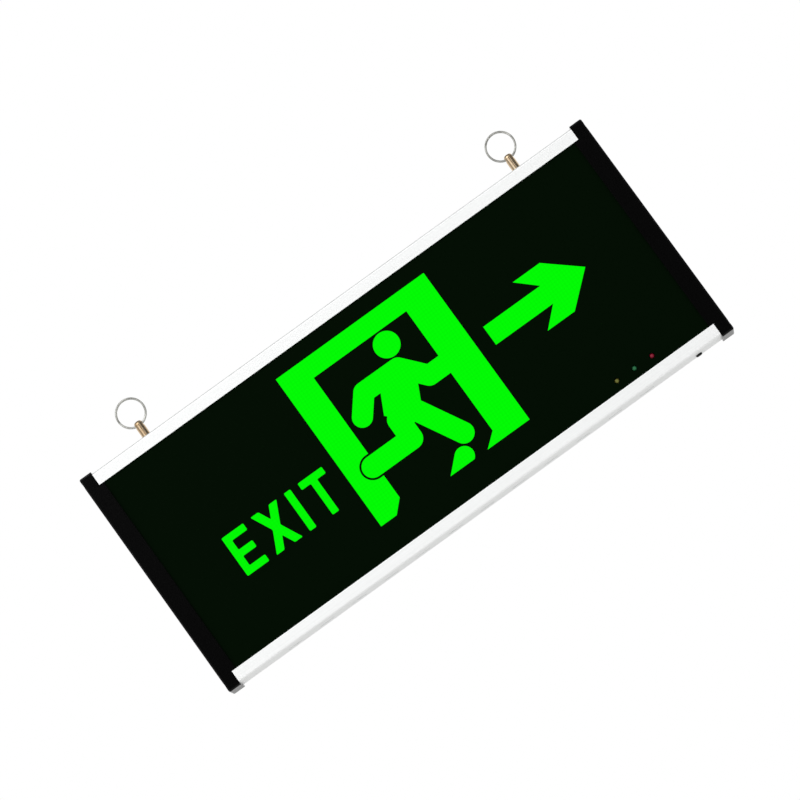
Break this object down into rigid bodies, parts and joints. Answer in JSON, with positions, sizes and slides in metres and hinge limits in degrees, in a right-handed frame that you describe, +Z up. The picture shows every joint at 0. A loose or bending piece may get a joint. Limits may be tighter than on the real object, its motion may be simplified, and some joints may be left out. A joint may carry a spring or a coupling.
{
  "type": "emergency exit light",
  "caption": "Hanging emergency exit light: flat edge-lit box with aluminium rails, black end caps, a lit running-figure and arrow legend, hanging rings and a test button.",
  "frame": {"origin": "centre of the lamp's footprint, at the level of the end caps' feet", "axes": "+X along the lamp to the reader's right, +Y from the panel to the wall side, +Z up"},
  "size_m": [0.35, 0.024, 0.1729],
  "materials": {
    "silver_aluminium": "satin anodised",
    "black_plastic": "fine moulded texture",
    "black_steel": "black oxide",
    "lit_panel": "translucent green, lit from behind",
    "black_print": "screen print",
    "white_film": "matt film",
    "clear_acrylic": "polished edges",
    "white_board": "solder mask",
    "led_chip": "moulded chip",
    "white_steel": "powder coat",
    "black_rubber": "moulded",
    "zinc_steel": "zinc plate",
    "circuit_board": "solder mask",
    "ferrite": "sintered",
    "capacitor_sleeve": "shrunk sleeve",
    "terminal_plastic": "moulded",
    "battery_sleeve": "shrunk sleeve",
    "yellow_lamp": "moulded epoxy",
    "green_lamp": "moulded epoxy",
    "red_lamp": "moulded epoxy",
    "switch_plastic": "moulded",
    "black_button": "moulded",
    "brass": "turned",
    "ring_steel": "nickel plate",
    "lead_sleeve": "extruded"
  },
  "bodies": {
    "lamp": {"bottom_rail": "silver_aluminium", "top_rail": "silver_aluminium", "left_end_cap": "black_plastic", "right_end_cap": "black_plastic", "end_cap_screws": "black_steel", "front_panel": "lit_panel", "legend_mask": "black_print", "diffuser_sheet": "white_film", "light_guide": "clear_acrylic", "reflector_sheet": "white_film", "led_strip_board": "white_board", "strip_leds": "led_chip", "back_plate": "white_steel", "cable_grommet": "black_rubber", "earth_screw": "zinc_steel", "driver_board": "circuit_board", "driver_standoffs": "zinc_steel", "driver_screws": "zinc_steel", "transformer": "ferrite", "reservoir_capacitor": "capacitor_sleeve", "terminal_block": "terminal_plastic", "battery_pack": "battery_sleeve", "battery_strap": "zinc_steel", "strap_screws": "zinc_steel", "indicator_board": "circuit_board", "snap_pillars": "white_film", "yellow_indicator": "yellow_lamp", "green_indicator": "green_lamp", "red_indicator": "red_lamp", "test_switch": "switch_plastic", "left_hanging_post": "brass", "right_hanging_post": "brass", "post_washers": "zinc_steel", "post_nuts": "zinc_steel", "battery_lead": "lead_sleeve", "strip_lead": "lead_sleeve", "indicator_lead": "lead_sleeve"},
    "left_ring": {"left_split_ring": "ring_steel"},
    "right_ring": {"right_split_ring": "ring_steel"},
    "button": {"test_button": "black_button"}
  },
  "joints": [
    {"name": "left_ring_swing", "type": "hinge", "parent": "lamp", "child": "left_ring", "pos_m": [-0.1296, 0.0014, 0.1555], "axis": [1, 0, 0], "range_deg": [-123, 117]},
    {"name": "right_ring_swing", "type": "hinge", "parent": "lamp", "child": "right_ring", "pos_m": [0.1296, 0.0014, 0.1555], "axis": [1, 0, 0], "range_deg": [-123, 117]},
    {"name": "button_press", "type": "slide", "parent": "lamp", "child": "button", "axis": [0, 0, 1], "range_m": [0, 0.0008], "stiffness_N_per_m": 600, "springref_m": -0.0005}
  ]
}
